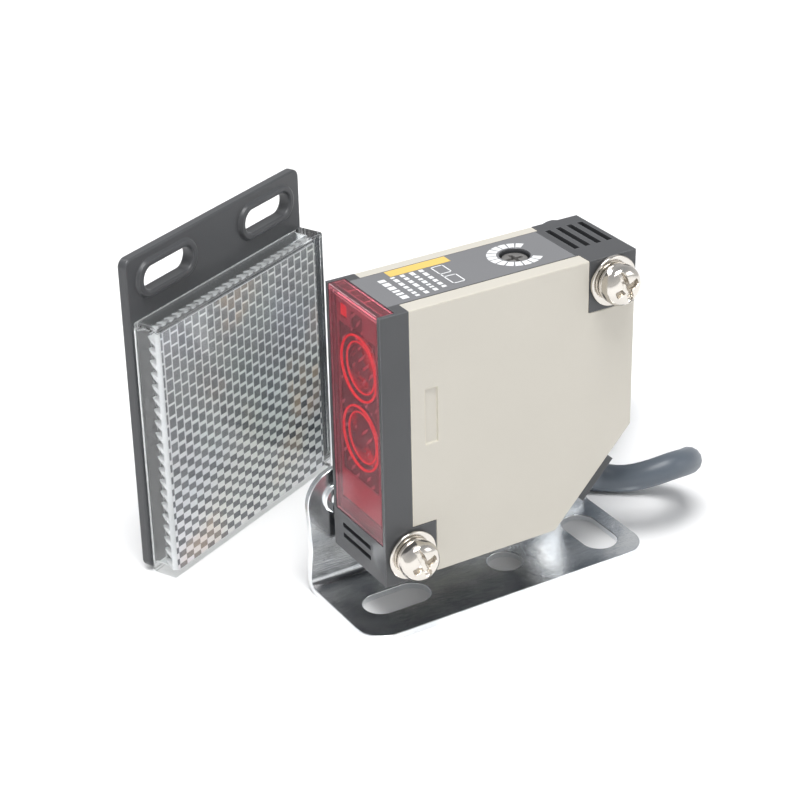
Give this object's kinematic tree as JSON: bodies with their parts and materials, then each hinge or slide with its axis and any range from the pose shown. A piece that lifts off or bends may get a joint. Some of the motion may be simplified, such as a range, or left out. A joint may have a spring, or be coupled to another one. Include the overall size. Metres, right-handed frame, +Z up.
{
  "type": "photoelectric sensor",
  "caption": "Square retro-reflective photoelectric sensor on a slotted L bracket, with a red window, a sensitivity adjuster, a coiled cable and a free-standing prism reflector.",
  "frame": {"origin": "centre of the round hole in the bracket's base, at the base's underside", "axes": "+X from the window towards the back of the sensor, +Y from the open side cover towards the bracket's upright, +Z up, out of the base hole"},
  "size_m": [0.1079, 0.0873, 0.0606],
  "materials": {
    "charcoal_plastic": "fine grain",
    "cream_plastic": "satin",
    "red_acrylic": "gloss, see-through",
    "red_lens": "gloss, see-through",
    "black_plastic": "matt",
    "filter_film": "gloss film",
    "circuit_board": "solder mask",
    "clear_plastic": "gloss, see-through",
    "copper_wire": "enamelled",
    "soft_iron": "plated",
    "contact_metal": "bright",
    "component_blue": "gloss",
    "component_tan": "gloss",
    "ivory_plastic": "satin",
    "label_film": "printed film",
    "black_rubber": "matt",
    "cable_sheath": "satin",
    "core_insulation": "one colour a core",
    "white_nylon": "satin",
    "nickel_steel": "nickel plated",
    "zinc_sheet": "bright zinc plated",
    "clear_acrylic": "clear, prismatic back"
  },
  "bodies": {
    "sensor": {"housing": "charcoal_plastic", "near_cover": "cream_plastic", "far_cover": "cream_plastic", "front_window": "red_acrylic", "upper_lens": "red_lens", "lower_lens": "red_lens", "optics_holder": "black_plastic", "polarising_filters": "filter_film", "emitter_led": "red_lens", "receiver_diode": "black_plastic", "optics_board": "circuit_board", "indicator_led": "red_lens", "main_board": "circuit_board", "relay_base": "black_plastic", "relay_case": "clear_plastic", "relay_coil": "copper_wire", "relay_core": "soft_iron", "relay_yoke": "soft_iron", "relay_fixed_contact": "contact_metal", "smoothing_capacitor": "component_blue", "supply_choke": "copper_wire", "varistor": "component_blue", "rectifier": "black_plastic", "resistors": "component_tan", "adjuster_base": "component_blue", "top_label": "label_film", "cable_gland": "black_rubber", "cable_clamp": "zinc_sheet", "inner_cores": "core_insulation", "cable_tube": "cable_sheath", "cable_coil": "cable_sheath", "cable_tie": "white_nylon", "cable_end_cores": "core_insulation", "screws": "nickel_steel", "spring_washers": "nickel_steel", "flat_washers": "nickel_steel", "bracket": "zinc_sheet"},
    "adjuster": {"adjuster_rotor": "ivory_plastic"},
    "armature": {"relay_armature": "soft_iron", "relay_moving_contact": "contact_metal"},
    "reflector": {"reflector_plate": "charcoal_plastic", "reflector_block": "clear_acrylic"}
  },
  "joints": [
    {"name": "adjuster_turn", "type": "hinge", "parent": "sensor", "child": "adjuster", "pos_m": [0.0032, 0.0021, 0.0586], "axis": [0, 0, 1], "range_deg": [-120, 120]},
    {"name": "relay_swing", "type": "hinge", "parent": "sensor", "child": "armature", "pos_m": [0.0048, 0.0003, 0.0382], "axis": [0, 1, 0], "range_deg": [0, 3], "stiffness_Nm_per_rad": 0.002, "springref_deg": -11.46},
    {"name": "reflector_lift", "type": "slide", "parent": "sensor", "child": "reflector", "axis": [0, 0, 1], "range_m": [0, 0.1]}
  ]
}
